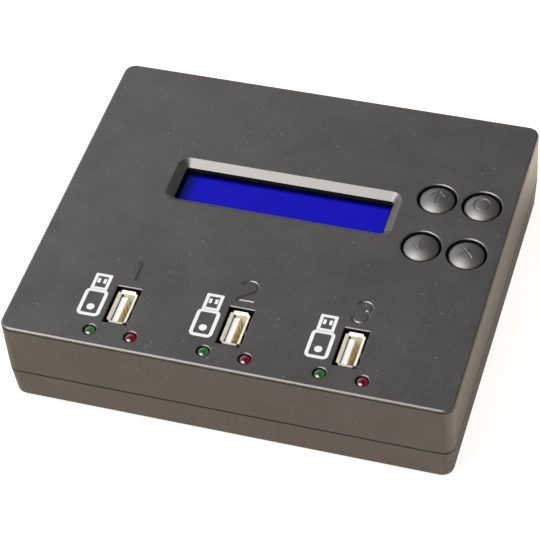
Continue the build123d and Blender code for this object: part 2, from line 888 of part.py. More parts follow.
# Power inlet: a moulded body with a round bore, a centre pin and a sprung leaf
with BuildPart() as power_jack:
    with BuildSketch(jack_plane):
        with Locations((0, jack_height / 2 - jack_axis_height)):
            Rectangle(jack_width, jack_height)
    extrude(amount=jack_length)
    with BuildSketch(jack_plane):
        Circle(jack_bore_radius)
    extrude(amount=jack_bore_depth, mode=Mode.SUBTRACT)
    with BuildSketch(jack_plane):
        flats(jack_pin_radius)
    extrude(amount=jack_length, mode=Mode.SUBTRACT)
    # Slot of the leaf, open to the bore and to the board
    with BuildSketch(jack_plane.offset(jack_bore_depth - jack_leaf_length)):
        with Locations((0, -(jack_axis_height + jack_bore_radius) / 2)):
            Rectangle(
                jack_tail_width + 2 * lead_clearance,
                jack_axis_height - jack_bore_radius + jack_leaf_room,
            )
    extrude(amount=jack_leaf_length, mode=Mode.SUBTRACT)
power_jack.part.label = "power_jack"
export_step(power_jack.part, "parts/power_jack.step")

with BuildPart() as jack_pin:
    with BuildSketch(jack_plane.offset(jack_pin_recess)):
        flats(jack_pin_radius)
    extrude(amount=jack_length - jack_pin_recess)
    tail_height = jack_axis_height + board_sheet + lead_overhang
    with BuildSketch(jack_plane.offset(jack_length)):
        with Locations((0, (jack_pin_radius - tail_height) / 2)):
            Rectangle(jack_tail_width, tail_height + jack_pin_radius)
    extrude(amount=jack_tail_sheet)
jack_pin.part.label = "jack_pin"
export_step(jack_pin.part, "parts/jack_pin.step")

leaf_back = jack_mouth_y - jack_bore_depth
leaf_front = leaf_back + jack_leaf_length - jack_tail_sheet
leaf_crest_y = leaf_back + jack_leaf_lean
leaf_low = jack_axis_z - jack_bore_radius - 2 * jack_tail_sheet
leaf_high = leaf_low + 2 * jack_tail_sheet
with BuildPart() as jack_leaf:
    with BuildSketch(Plane.YZ.offset(jack_x)):
        with BuildLine():
            Polyline(
                (leaf_back, board_z - lead_overhang),
                (leaf_back, leaf_low + jack_tail_sheet),
                (leaf_crest_y, leaf_high + jack_tail_sheet),
                (leaf_front, leaf_low + jack_tail_sheet),
                (leaf_front, leaf_low),
                (leaf_crest_y, leaf_high),
                (leaf_back + jack_tail_sheet, leaf_low),
                (leaf_back + jack_tail_sheet, board_z - lead_overhang),
                close=True,
            )
        make_face()
    extrude(amount=jack_tail_width / 2, both=True)
jack_leaf.part.label = "jack_leaf"
export_step(jack_leaf.part, "parts/jack_leaf.step")


def chip(x, y, width, depth, height, sides):
    """A flat moulded chip, its leads drawn as one thin strip along each named side."""
    with BuildPart() as body:
        with BuildSketch(Plane.XY.offset(board_top_z)):
            with Locations((x, y)):
                Rectangle(width, depth)
        extrude(amount=height)
        chamfer(body.faces().sort_by(Axis.Z)[-1].edges(), rim_chamfer)
        with BuildSketch(Plane.XY.offset(board_top_z)):
            with Locations((x, y)):
                if "x" in sides:
                    Rectangle(width + 2 * chip_lead_reach, depth - 2 * chip_lead_inset)
                if "y" in sides:
                    Rectangle(width - 2 * chip_lead_inset, depth + 2 * chip_lead_reach)
        extrude(amount=chip_lead_sheet)
    return body


controller_chip = chip(
    controller_x, chips_y, controller_size, controller_size, controller_height, "xy"
)
controller_chip.part.label = "controller_chip"
export_step(controller_chip.part, "parts/controller_chip.step")

memory_chip = chip(memory_x, chips_y, memory_width, memory_depth, memory_height, "x")
memory_chip.part.label = "memory_chip"
export_step(memory_chip.part, "parts/memory_chip.step")

with BuildPart() as crystal:
    with BuildSketch(Plane.XY.offset(board_top_z)):
        with Locations((crystal_x, chips_y)):
            Rectangle(crystal_width, crystal_depth)
    extrude(amount=crystal_height)
crystal.part.label = "crystal"
export_step(crystal.part, "parts/crystal.step")

with BuildPart() as capacitor:
    with BuildSketch(Plane.XY.offset(board_top_z)):
        with Locations((supply_x, capacitor_y)):
            Circle(capacitor_radius)
    extrude(amount=capacitor_height)
capacitor.part.label = "capacitor"
export_step(capacitor.part, "parts/capacitor.step")

regulator = chip(
    supply_x, chips_y, regulator_width, regulator_depth, regulator_height, "x"
)
regulator.part.label = "regulator"
export_step(regulator.part, "parts/regulator.step")

with BuildPart() as inductor:
    with BuildSketch(Plane.XY.offset(board_top_z)):
        with Locations((inductor_x, inductor_y)):
            Rectangle(inductor_size, inductor_size)
    extrude(amount=inductor_height)
    chamfer(inductor.edges().filter_by(Axis.Z), inductor_chamfer)
inductor.part.label = "inductor"
export_step(inductor.part, "parts/inductor.step")
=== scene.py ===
import math

import bmesh
import bpy
from mathutils import Matrix, Vector


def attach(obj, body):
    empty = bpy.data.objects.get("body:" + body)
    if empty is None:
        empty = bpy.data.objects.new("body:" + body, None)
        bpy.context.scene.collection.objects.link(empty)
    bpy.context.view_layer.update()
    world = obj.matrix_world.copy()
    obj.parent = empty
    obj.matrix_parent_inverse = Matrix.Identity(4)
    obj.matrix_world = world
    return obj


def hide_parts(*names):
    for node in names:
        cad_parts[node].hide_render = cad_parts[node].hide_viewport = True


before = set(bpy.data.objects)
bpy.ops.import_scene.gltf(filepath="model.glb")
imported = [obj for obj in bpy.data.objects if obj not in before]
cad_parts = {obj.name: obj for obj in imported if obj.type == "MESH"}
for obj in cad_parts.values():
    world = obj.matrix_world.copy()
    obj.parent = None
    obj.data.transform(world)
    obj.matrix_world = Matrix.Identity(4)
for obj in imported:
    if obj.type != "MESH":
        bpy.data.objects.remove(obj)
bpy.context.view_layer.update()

mm = 0.001

# The camera stands in front of the box, to the right of its middle, and looks down on it.
# Its place, aim and small roll are those of the photograph.
aim = Vector((3.50, -20.2, 34.9)) * mm
camera_distance = 717.94 * mm
azimuth, elevation, roll = math.radians(20.703), math.radians(47.406), math.radians(-5.389)
back = Vector((
    math.sin(azimuth) * math.cos(elevation),
    -math.cos(azimuth) * math.cos(elevation),
    math.sin(elevation),
))
level = Vector((0, 0, 1)).cross(back).normalized()
upright = back.cross(level)
across = math.cos(roll) * level + math.sin(roll) * upright
above = math.cos(roll) * upright - math.sin(roll) * level
bpy.ops.object.camera_add(location=aim + back * camera_distance)
camera = bpy.context.object
camera.rotation_euler = Matrix((across, above, back)).transposed().to_euler()
camera.data.sensor_width = 36
camera.data.lens = 147.28
camera.data.clip_start = 0.05
camera.data.clip_end = 20
bpy.context.scene.camera = camera
bpy.context.scene.view_settings.view_transform = "Standard"


# The box lies on a plain white table. The table keeps the soft shadow under the box, and to the
# camera it is lifted to white, as on the photograph. To a shiny wall it shows a painted reflection:
# a glow seen only in reflections, a little stronger to the right of the box and behind it, where
# the real table is lit by the room.
class Wire:
    """A socket of a node tree. Sums written with it add the nodes that work them out."""

    def __init__(self, tree, socket):
        self.tree = tree
        self.socket = socket

    def node(self, kind, settings=(), sockets=(), output=0):
        made = self.tree.nodes.new(kind)
        for name, value in dict(settings).items():
            if name == "stops":
                for stop, (place, colour) in zip(made.color_ramp.elements, value):
                    stop.position = place
                    stop.color = colour
            else:
                setattr(made, name, value)
        for name, value in dict(sockets).items():
            if isinstance(value, Wire):
                self.tree.links.new(value.socket, made.inputs[name])
            else:
                made.inputs[name].default_value = value
        return Wire(self.tree, made.outputs[output])

    def math(self, operation, first, second):
        return self.node("ShaderNodeMath", {"operation": operation}, {0: first, 1: second})

    def __add__(self, other):
        return self.math("ADD", self, other)

    def __sub__(self, other):
        return self.math("SUBTRACT", self, other)

    def __rsub__(self, other):
        return self.math("SUBTRACT", other, self)

    def __mul__(self, other):
        return self.math("MULTIPLY", self, other)

    def __abs__(self):
        return self.math("ABSOLUTE", self, 0.0)

    def __gt__(self, other):
        return self.math("GREATER_THAN", self, other)

    def __lt__(self, other):
        return self.math("LESS_THAN", self, other)

    def least(self, other):
        return self.math("MINIMUM", self, other)

    def most(self, other):
        return self.math("MAXIMUM", self, other)

    def part(self, axis):
        """One coordinate of a place."""
        return self.node("ShaderNodeSeparateXYZ", (), {0: self}, "XYZ".index(axis))

    def between(self, low, high):
        """From 0 at low to 1 at high, smoothly."""
        settings = {"interpolation_type": "SMOOTHSTEP"}
        return self.node("ShaderNodeMapRange", settings, {0: self, 1: low, 2: high, 3: 0.0, 4: 1.0})

    def blend(self, first, second):
        """The first colour where this is 0, the second where it is 1."""
        return self.node("ShaderNodeMix", {"data_type": "RGBA"}, {0: self, 6: first, 7: second}, 2)

    def noise(self, scale, detail=2.0, rough=0.5):
        sockets = {"Vector": self, "Scale": scale, "Detail": detail, "Roughness": rough}
        return self.node("ShaderNodeTexNoise", (), sockets)

    def to(self, socket):
        self.tree.links.new(self.socket, socket)


table_white = (0.71, 0.58, 0.465, 1.0)
bpy.ops.object.select_all(action="DESELECT")
bpy.ops.mesh.primitive_plane_add(size=8)
table_top = bpy.context.object
table_top.name = "table_top"
table_paint = bpy.data.materials.new("table_white")
table_paint.use_nodes = True
tree = table_paint.node_tree
tree.nodes.clear()
ray = Wire(tree, tree.nodes.new("ShaderNodeLightPath").outputs["Is Camera Ray"])
mirrored = ray.node("ShaderNodeLightPath", output="Is Glossy Ray").most(
    ray.node("ShaderNodeLightPath", output="Is Transmission Ray")
)
matt = ray.node("ShaderNodeBsdfDiffuse", (), {"Color": table_white})
lift = ray.node("ShaderNodeEmission", (), {"Color": (1, 1, 1, 1), "Strength": ray * 0.8})
spot = ray.node("ShaderNodeTexCoord", output="Object")
# Painted reflection: the table glows for glossy rays only, more to the right of the box and behind
# it.
beyond_right = spot.part("X").between(78 * mm, 90 * mm) * 0.6
beyond_back = spot.part("Y").between(50 * mm, 95 * mm) * 1.2
glow = ray.node(
    "ShaderNodeEmission",
    (),
    {"Color": (0.75, 0.66, 0.56, 1.0), "Strength": mirrored * (beyond_right + beyond_back + 0.17)},
)
lifted = ray.node("ShaderNodeAddShader", (), {0: matt, 1: lift})
lifted = ray.node("ShaderNodeAddShader", (), {0: lifted, 1: glow})
lifted.to(tree.nodes.new("ShaderNodeOutputMaterial").inputs["Surface"])
table_top.data.materials.append(table_paint)

# A large soft lamp stands to the left in front of the box, and a weak one fills in from the
# right. The room is pale on the left and dark on the right, and a cream screen in front on
# the left shows in the rounded edges, the bevels and the domes.
lamp_distance = 1.3
lamp_way = Vector((-0.38, -0.36, 0.85)).normalized()
bpy.ops.object.light_add(type="AREA", location=aim + lamp_way * lamp_distance)
softbox = bpy.context.object
softbox.rotation_euler = lamp_way.to_track_quat("Z", "Y").to_euler()
softbox.data.size = 0.85
softbox.data.energy = 15.5
softbox.data.color = (1.0, 0.98, 0.94)
softbox.visible_camera = False
fill_way = Vector((0.80, 0.30, 0.50)).normalized()
bpy.ops.object.light_add(type="AREA", location=aim + fill_way * lamp_distance)
fill_lamp = bpy.context.object
fill_lamp.rotation_euler = fill_way.to_track_quat("Z", "Y").to_euler()
fill_lamp.data.size = 0.8
fill_lamp.data.energy = 3.5
fill_lamp.data.color = (1.0, 0.95, 0.90)
fill_lamp.visible_camera = False
fill_lamp.visible_glossy = False
room = bpy.data.worlds.new("room")
bpy.context.scene.world = room
room.use_nodes = True
tree = room.node_tree
tree.nodes.clear()
way = Wire(tree, tree.nodes.new("ShaderNodeTexCoord").outputs["Generated"])
seen = way.node("ShaderNodeLightPath", output="Is Camera Ray")
mirrored = way.node("ShaderNodeLightPath", output="Is Glossy Ray")
sides = ((0 - way.part("X")) * 2.9 - 0.22).least(1.0).most(0.0) * 0.85 + 0.10
overhead = 1.35 - way.part("Z").between(0.60, 0.80) * 1.1
front = (way.part("Y") + way.part("Z") * 1.2).between(-0.5, 0.5)
screen = (0 - way.part("X")).between(-0.35, 0.05) * (0 - way.part("Y")).between(0.10, 0.40)
screen = screen * way.part("Z").between(0.05, 0.30)
screen = screen * (5.6 - way.part("Z").between(0.72, 0.92) * 4.6)
shine = sides * (front * 0.9 + 0.1) * overhead + screen
fill = way.part("X").between(-0.2, 0.8) * 0.2 + 0.16
strength = mirrored * shine + (1 - mirrored) * fill
strength = seen + (1 - seen) * strength
hue = (screen * mirrored).least(1.0).blend((1, 1, 1, 1), (1.0, 0.93, 0.85, 1))
sky = way.node("ShaderNodeBackground", (), {"Color": hue, "Strength": strength})
sky.to(tree.nodes.new("ShaderNodeOutputWorld").inputs["Surface"])


# Lower half of the case: an injection-moulded tray of charcoal ABS that draws in a little
# towards its floor, with a lip that stands inside the upper half, screw posts and ribs.
def block(name, low, high):
    """A block between two corners, in millimetres."""
    bpy.ops.object.select_all(action="DESELECT")
    bpy.ops.mesh.primitive_cube_add(
        size=1,
        location=[(a + b) / 2 * mm for a, b in zip(low, high)],
        scale=[(b - a) * mm for a, b in zip(low, high)],
    )
    bpy.ops.object.transform_apply(location=True, rotation=True, scale=True)
    piece = bpy.context.object
    piece.name = piece.data.name = name
    return piece


def edit(piece):
    bpy.ops.object.select_all(action="DESELECT")
    piece.select_set(True)
    bpy.context.view_layer.objects.active = piece
    bpy.ops.object.mode_set(mode="EDIT")


def done():
    bpy.ops.object.mode_set(mode="OBJECT")


def pick(kind, test):
    """In edit mode, selects the faces, edges or points that the test says, and no others."""
    bpy.ops.mesh.select_mode(type=kind)
    bpy.ops.mesh.select_all(action="DESELECT")
    shape = bmesh.from_edit_mesh(bpy.context.object.data)
    parts = {"FACE": shape.faces, "EDGE": shape.edges, "VERT": shape.verts}[kind]
    for part in parts:
        if test(part):
            part.select_set(True)
    shape.select_flush_mode()
    bmesh.update_edit_mesh(bpy.context.object.data)


def at_height(z):
    """A test for what lies flat at one height, in millimetres."""
    return lambda part: all(abs(v.co.z - z * mm) < 2e-6 for v in part.verts)


def standing(edge):
    """A test for upright edges."""
    along = edge.verts[1].co - edge.verts[0].co
    return abs(along.z) > 0.99 * along.length


def push(x, y, z):
    """Extrudes what is selected by a step in millimetres."""
    bpy.ops.mesh.extrude_region_move(TRANSFORM_OT_translate={"value": (x * mm, y * mm, z * mm)})


def turned(name, x, y, rings, steps=48):
    """A closed round body of rings, each a radius and a height; radius 0 closes to a point."""
    bpy.ops.object.select_all(action="DESELECT")
    radius, z = rings[0]
    bpy.ops.mesh.primitive_circle_add(
        vertices=steps, radius=radius * mm, fill_type="NGON", location=(x * mm, y * mm, z * mm)
    )
    bpy.ops.object.transform_apply(location=True, rotation=True, scale=True)
    piece = bpy.context.object
    piece.name = piece.data.name = name
    edit(piece)
    bpy.ops.mesh.select_all(action="SELECT")
    for wider, higher in rings[1:]:
        push(0, 0, higher - z)
        if wider == 0:
            bpy.ops.mesh.merge(type="CENTER")
        elif wider != radius:
            bpy.ops.transform.resize(
                value=(wider / radius, wider / radius, 1),
                center_override=(x * mm, y * mm, higher * mm),
            )
        radius, z = wider, higher
    bpy.ops.mesh.select_all(action="SELECT")
    bpy.ops.mesh.remove_doubles(threshold=1e-6)
    bpy.ops.mesh.normals_make_consistent(inside=False)
    done()
    return piece


def apply(piece, kind, **settings):
    """Adds a modifier and applies it."""
    bpy.ops.object.select_all(action="DESELECT")
    piece.select_set(True)
    bpy.context.view_layer.objects.active = piece
    modifier = piece.modifiers.new(kind.lower(), kind)
    for setting, value in settings.items():
        setattr(modifier, setting, value)
    bpy.ops.object.modifier_apply(modifier=modifier.name)


def joined(name, pieces):
    """Several pieces as one mesh."""
    bpy.ops.object.select_all(action="DESELECT")
    for piece in pieces:
        piece.select_set(True)
    bpy.context.view_layer.objects.active = pieces[0]
    if len(pieces) > 1:
        bpy.ops.object.join()
    pieces[0].name = pieces[0].data.name = name
    return pieces[0]


def carve(piece, cutters, operation="DIFFERENCE"):
    """Cuts the cutters out of a piece, or adds them to it."""
    for cutter in cutters:
        apply(piece, "BOOLEAN", object=cutter, operation=operation, solver="EXACT")
        bpy.data.objects.remove(cutter)


def smooth(piece, angle=32):
    """Rounds the shading of soft edges and keeps flat faces flat."""
    bpy.ops.object.select_all(action="DESELECT")
    piece.select_set(True)
    bpy.context.view_layer.objects.active = piece
    bpy.ops.object.shade_smooth_by_angle(angle=math.radians(angle))
    apply(piece, "WEIGHTED_NORMAL", keep_sharp=True)


def new_finish(name, **values):
    """A material, its shader with plain values on its sockets, and the place on the piece."""
    finish = bpy.data.materials.new(name)
    finish.use_nodes = True
    shader = finish.node_tree.nodes["Principled BSDF"]
    for socket, value in values.items():
        shader.inputs[socket.replace("_", " ")].default_value = value
    place = finish.node_tree.nodes.new("ShaderNodeTexCoord").outputs["Object"]
    return finish, shader, Wire(finish.node_tree, place)


def bump(shader, height, depth, strength=1.0):
    """Lets a height from 0 to 1 stand out by a depth in millimetres."""
    sockets = {"Height": height, "Distance": depth * mm, "Strength": strength}
    height.node("ShaderNodeBump", (), sockets).to(shader.inputs["Normal"])


def dress(piece, finish, body="root", replaces=()):
    """Paints a piece, lets it ride on a body, and hides the nodes that it stands for."""
    piece.data.materials.clear()
    piece.data.materials.append(finish)
    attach(piece, body)
    if replaces:
        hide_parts(*replaces)


half_width, half_depth, corner_radius = 75.0, 64.1, 4.0
floor_z, seam_z, top_z = 1.5, 13.5, 34.9
window_x, window_y, numeral_y = -1.95, 13.03, -30.75
case_plastic, shader, place = new_finish("case_plastic", IOR=1.8)
along_x, along_y, height = place.part("X"), place.part("Y"), place.part("Z")
grain = place.noise(1500, 3.0, 0.7)
cloud = place.noise(70, 3.0, 0.55)
shade = (grain * 0.7 + cloud * 0.3).between(0.3, 0.7)
plastic = shade.blend((0.037, 0.034, 0.0355, 1), (0.078, 0.072, 0.0745, 1))
scatter = {"Vector": place, "Scale": 290.0, "Randomness": 1.0}
specks = place.node("ShaderNodeTexVoronoi", (), scatter)
chance = place.node("ShaderNodeTexVoronoi", (), scatter, "Color").part("X")
dust = (0.065 - specks).between(0.0, 0.012) * (chance > 0.5)
plastic = (dust * 0.9).blend(plastic, (0.42, 0.41, 0.39, 1))
# The bevels of the window are smoother than the top. Painted shade darkens the left and back
# bevels, and the light of the display is painted onto the front one, lighter and bluish.
by_window = abs(along_x - window_x * mm) < 39.6 * mm
by_window = by_window * (abs(along_y - window_y * mm) < 10.6 * mm)
bevel = by_window * (height < 34.87 * mm)
# Painted shade on the left and back bevels of the window.
shaded_left_and_back_bevels = bevel * (along_x < 34 * mm)
plastic = (shaded_left_and_back_bevels * 0.45).blend(plastic, (0.016, 0.012, 0.016, 1))
# Painted light of the display on the front bevel.
lit_front_bevel = bevel * (along_y < 5.6 * mm)
plastic = lit_front_bevel.blend(plastic, (0.098, 0.093, 0.125, 1))
plastic.to(shader.inputs["Base Color"])
(cloud * 0.08 + grain * 0.08 + 0.27).to(shader.inputs["Roughness"])
bump(shader, grain * (1 - bevel * 0.7), 0.03, 0.35)
# Painted shade: the walls inside the openings, the seam and the groove under the top edge are
# painted near-black, as no light reaches them.
by_numeral = abs(along_y - numeral_y * mm) < 6 * mm
inner = height < 34.58 * mm - by_window * 1.68 * mm - by_numeral * 0.4 * mm
inner = inner * (height > 3 * mm) * (abs(along_x) + abs(along_y) < 134 * mm)
inner = inner * (abs(along_x) < 73.5 * mm) * (abs(along_y) < 62.6 * mm)
in_seam = abs(height - 13.75 * mm) < 0.27 * mm
in_groove = abs(height - 33.8 * mm) < 0.21 * mm
in_groove = in_groove * (abs(along_x) > 73.5 * mm).most(abs(along_y) > 62.6 * mm)
behind_wall = (abs(along_x) < 74.95 * mm) * (abs(along_y) < 64.05 * mm)
# Painted shade mask: inner walls, the seam and the groove under the top edge.
dark = inner.most(in_seam.most(in_groove) * behind_wall)
unlit = place.node(
    "ShaderNodeBsdfPrincipled",
    (),
    {"Base Color": (0.006, 0.006, 0.006, 1), "Roughness": 0.9, "Specular IOR Level": 0.1},
)
lit_plastic = Wire(place.tree, shader.outputs[0])
either = place.node("ShaderNodeMixShader", (), {0: dark, 1: lit_plastic, 2: unlit})
either.to(place.tree.nodes["Material Output"].inputs["Surface"])

post_x, post_y, post_radius = 66.6, 55.7, 4.0
ports_x, port_y = (-38.6, -0.4, 37.8), -46.0
draw_in, lip_inset, lip_height, lip_wall, floor_top_z = 0.7, 2.6, 1.7, 1.0, 3.9
bottom_shell = block(
    "bottom_shell", (-half_width, -half_depth, floor_z), (half_width, half_depth, seam_z)
)
edit(bottom_shell)
pick("EDGE", standing)
bpy.ops.mesh.bevel(offset=corner_radius * mm, segments=10, affect="EDGES")
pick("FACE", at_height(floor_z))
bpy.ops.transform.resize(
    value=(1 - draw_in / half_width, 1 - draw_in / half_depth, 1),
    center_override=(0, 0, floor_z * mm),
)
pick("EDGE", at_height(floor_z))
bpy.ops.mesh.bevel(offset=0.6 * mm, segments=3, affect="EDGES")
pick("FACE", at_height(seam_z))
bpy.ops.mesh.inset(thickness=lip_inset * mm)
push(0, 0, lip_height)
bpy.ops.mesh.inset(thickness=lip_wall * mm)
push(0, 0, floor_top_z - seam_z - lip_height)
done()
posts = []
for x in (-post_x, post_x):
    for y in (-post_y, post_y):
        posts.append(turned("post", x, y, [(post_radius, 3.0), (post_radius, 18.3)]))
rib_top = 18.1
for x in ports_x:
    for rib_x in (x - 5.2, x + 5.2):
        rib = block(
            "rib", (rib_x - 0.8, port_y - 6.5, 3.0), (rib_x + 0.8, port_y + 6.5, rib_top)
        )
        edit(rib)
        pick("EDGE", at_height(rib_top))
        bpy.ops.mesh.bevel(offset=0.3 * mm, segments=2, affect="EDGES")
        done()
        posts.append(rib)
carve(bottom_shell, posts, "UNION")
seats = []
for x in (-post_x, post_x):
    for y in (-post_y, post_y):
        rings = [(3.35, 1.0), (3.3, 1.5), (3.0, 1.85), (3.0, 7.0), (1.7, 7.0), (1.7, 19.0)]
        seats.append(turned("seat", x, y, rings))
carve(bottom_shell, [joined("seats", seats)])
smooth(bottom_shell)
dress(bottom_shell, case_plastic, replaces=["bottom_cover"])


# Four square rubber pads, die-cut with rounded corners and glued on under the tray.
foot_rubber, shader, place = new_finish("foot_rubber", Specular_IOR_Level=0.3)
grain = place.noise(1500, 4.0, 0.7)
grain.blend((0.018, 0.018, 0.018, 1), (0.035, 0.034, 0.034, 1)).to(shader.inputs["Base Color"])
(grain * 0.2 + 0.65).to(shader.inputs["Roughness"])
bump(shader, grain, 0.05, 0.5)
foot_x, foot_y, half_foot = 58, 47.1, 5
pads = []
for x in (-foot_x, foot_x):
    for y in (-foot_y, foot_y):
        pad = block(
            "pad", (x - half_foot, y - half_foot, 0), (x + half_foot, y + half_foot, floor_z)
        )
        edit(pad)
        pick("EDGE", standing)
        bpy.ops.mesh.bevel(offset=1.2 * mm, segments=5, affect="EDGES")
        pick("EDGE", at_height(0))
        bpy.ops.mesh.bevel(offset=0.35 * mm, segments=3, affect="EDGES")
        pick("FACE", at_height(0))
        bpy.ops.mesh.inset(thickness=1.0 * mm)
        bpy.ops.mesh.inset(thickness=0.3 * mm, depth=-0.15 * mm)
        done()
        pads.append(pad)
pads = joined("rubber_pads", pads)
smooth(pads)
dress(pads, foot_rubber, replaces=["rubber_feet"])


# Four zinc-plated self-tapping screws hold the two halves together from below. They are
# cold-headed, with a cross recess that faces down.
def metal(name, light, dark, rough, stretch, scale, pure=1.0):
    """Metal with a fine grain along the short side of the stretch; pure is how metallic."""
    finish, shader, place = new_finish(name, Metallic=pure)
    drawn = place.node("ShaderNodeMapping", (), {"Vector": place, "Scale": stretch})
    grain = drawn.noise(scale, 3.0, 0.6)
    stain = place.noise(160, 2.0, 0.5)
    (grain * 0.6 + stain * 0.4).between(0.3, 0.7).blend(dark, light).to(shader.inputs["Base Color"])
    (grain * 0.14 + rough).to(shader.inputs["Roughness"])
    bump(shader, grain, 0.004, 0.5)
    return finish


zinc = metal("zinc_steel", (0.72, 0.72, 0.70, 1), (0.55, 0.55, 0.52, 1), 0.25, (1, 1, 0.2), 3000)
thread_pitch, crest, root = 1.45, 1.5, 1.2
screws = []
for x in (-post_x, post_x):
    for y in (-post_y, post_y):
        rings = [(2.2, 5.2), (2.6, 5.35), (2.8, 5.8), (2.8, 7.0), (crest, 7.0)]
        for turn in range(13):
            up = turn * thread_pitch
            rings += [(crest, 7.4 + up), (root, 7.9 + up), (root, 8.4 + up)]
        rings += [(root, 26.4), (0.4, 27.0)]
        screw = turned("screw", x, y, rings, 24)
        arms = [
            block("arm", (x - 1.5, y - 0.3, 4.0), (x + 1.5, y + 0.3, 6.4)),
            block("arm", (x - 0.3, y - 1.5, 4.0), (x + 0.3, y + 1.5, 6.4)),
        ]
        carve(screw, arms)
        screws.append(screw)
screws = joined("cross_head_screws", screws)
smooth(screws)
dress(screws, zinc, replaces=["case_screws"])


# Two boards of green glass-fibre laminate. The main board is clamped between the posts of
# the two halves, and the control board hangs under the display and the keys.
def repaint(finish, *nodes):
    """Gives a finish to solids whose shape is right as it is."""
    for name in nodes:
        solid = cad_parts[name]
        solid.data.materials.clear()
        solid.data.materials.append(finish)


board_green, shader, place = new_finish("circuit_board", Specular_IOR_Level=0.5)
tracks = place.node(
    "ShaderNodeTexBrick",
    {"offset": 0.5, "squash": 1.0},
    {"Vector": place, "Scale": 240.0, "Mortar Size": 0.03, "Brick Width": 1.4, "Row Height": 0.45},
    "Fac",
)
weave = place.noise(1200, 3.0, 0.6)
mask = weave.blend((0.003, 0.030, 0.012, 1), (0.005, 0.045, 0.017, 1))
(tracks * 0.6).blend(mask, (0.010, 0.080, 0.032, 1)).to(shader.inputs["Base Color"])
(weave * 0.15 + 0.25).to(shader.inputs["Roughness"])
bump(shader, tracks + weave * 0.3, 0.03, 0.5)
repaint(board_green, "main_board", "control_board")


# Parts soldered to the main board: resin-moulded chips with tinned leads, a metal-can
# crystal, a power choke and an aluminium-can capacitor.
def resin(name, x, y, half_x, half_y):
    """Black resin inside a rectangle, tinned leads outside it, in millimetres."""
    finish, shader, place = new_finish(name, Specular_IOR_Level=0.4)
    off_x = abs(place.part("X") - x * mm) > half_x * mm
    off_y = abs(place.part("Y") - y * mm) > half_y * mm
    lead = off_x.most(off_y)
    grain = place.noise(3000, 3.0, 0.6)
    body = grain.blend((0.012, 0.012, 0.013, 1), (0.028, 0.028, 0.029, 1))
    lead.blend(body, (0.66, 0.66, 0.64, 1)).to(shader.inputs["Base Color"])
    lead.to(shader.inputs["Metallic"])
    (0.55 - lead * 0.25 + grain * 0.1).to(shader.inputs["Roughness"])
    bump(shader, grain, 0.02, 0.4)
    return finish


repaint(resin("controller_resin", -12, -24, 7.0, 7.0), "controller_chip")
repaint(resin("memory_resin", 18, -24, 8.2, 5.0), "memory_chip")
repaint(resin("regulator_resin", -61.25, -24, 3.25, 3.0), "regulator")
repaint(resin("inductor_resin", -28, 50, 3.7, 3.7), "inductor")
can = metal("capacitor_can", (0.80, 0.80, 0.82, 1), (0.62, 0.62, 0.64, 1), 0.2, (1, 1, 0.1), 2500)
repaint(can, "capacitor")
tin = metal("tinned_wire", (0.80, 0.80, 0.78, 1), (0.60, 0.60, 0.58, 1), 0.2, (1, 1, 0.15), 2500)
repaint(tin, "lamp_leads", "switch_legs", "jack_pin", "jack_leaf")
stamped = metal(
    "bezel_steel", (0.62, 0.62, 0.62, 1), (0.46, 0.46, 0.46, 1), 0.25, (0.1, 1, 1), 2500
)
repaint(stamped, "crystal", "display_bezel")
repaint(zinc, "control_board_screws")


# Low-voltage inlet in the back wall, and the other black mouldings: the header strip, the
# lamp spacers and the key switches. All are matt black nylon.
black_plastic, shader, place = new_finish("black_plastic", Specular_IOR_Level=0.4)
grain = place.noise(1800, 3.0, 0.6)
grain.blend((0.014, 0.014, 0.014, 1), (0.026, 0.026, 0.027, 1)).to(shader.inputs["Base Color"])
(grain * 0.2 + 0.42).to(shader.inputs["Roughness"])
bump(shader, grain, 0.02, 0.4)
repaint(black_plastic, "power_jack", "header_strip", "lamp_spacers")
keys = {
    "up": (48.6, 23.425),
    "select": (63.8, 23.425),
    "down": (48.6, 1.375),
    "cancel": (63.8, 1.375),
}
for key in keys:
    repaint(black_plastic, f"{key}_switch", f"{key}_plunger")
gold = metal("gold_plate", (1.0, 0.76, 0.30, 1), (0.75, 0.50, 0.14, 1), 0.3, (1, 1, 0.2), 1800, 0.4)
repaint(gold, "header_pins")


# Three upright sockets. Each shell is nickel-plated strip, folded to a tube, with lips that flare
# outwards at the mouth and two sprung fingers in each long wall. The narrow slot to the left of the
# tongue is painted dark as shade, since little light reaches it.
port_pitch, socket_width, socket_depth, strip_thickness = 38.2, 5.12, 12.5, 0.3
nickel, shader, place = new_finish("socket_steel", Metallic=0.25)
drawn = place.node("ShaderNodeMapping", (), {"Vector": place, "Scale": (1, 1, 0.12)})
grain = drawn.noise(1500, 3.0, 0.6)
plated = grain.between(0.3, 0.7).blend((0.86, 0.80, 0.66, 1), (0.98, 0.94, 0.84, 1))
from_edge = place.part("X") + (port_pitch / 2 - ports_x[0]) * mm
in_pitch = from_edge.math("MODULO", from_edge, port_pitch * mm)
# Painted shade: below the mouth, the shell left of the tongue is painted dark.
clear_of_painted_shade = place.part("Z").between(32.9 * mm, 33.4 * mm).most(in_pitch > 17.4 * mm)
clear_of_painted_shade.blend((0.06, 0.05, 0.035, 1), plated).to(shader.inputs["Base Color"])
(grain * 0.14 + 0.28).to(shader.inputs["Roughness"])
bump(shader, grain, 0.004, 0.5)
straight_z, board_top_z = 33.35, 19.9
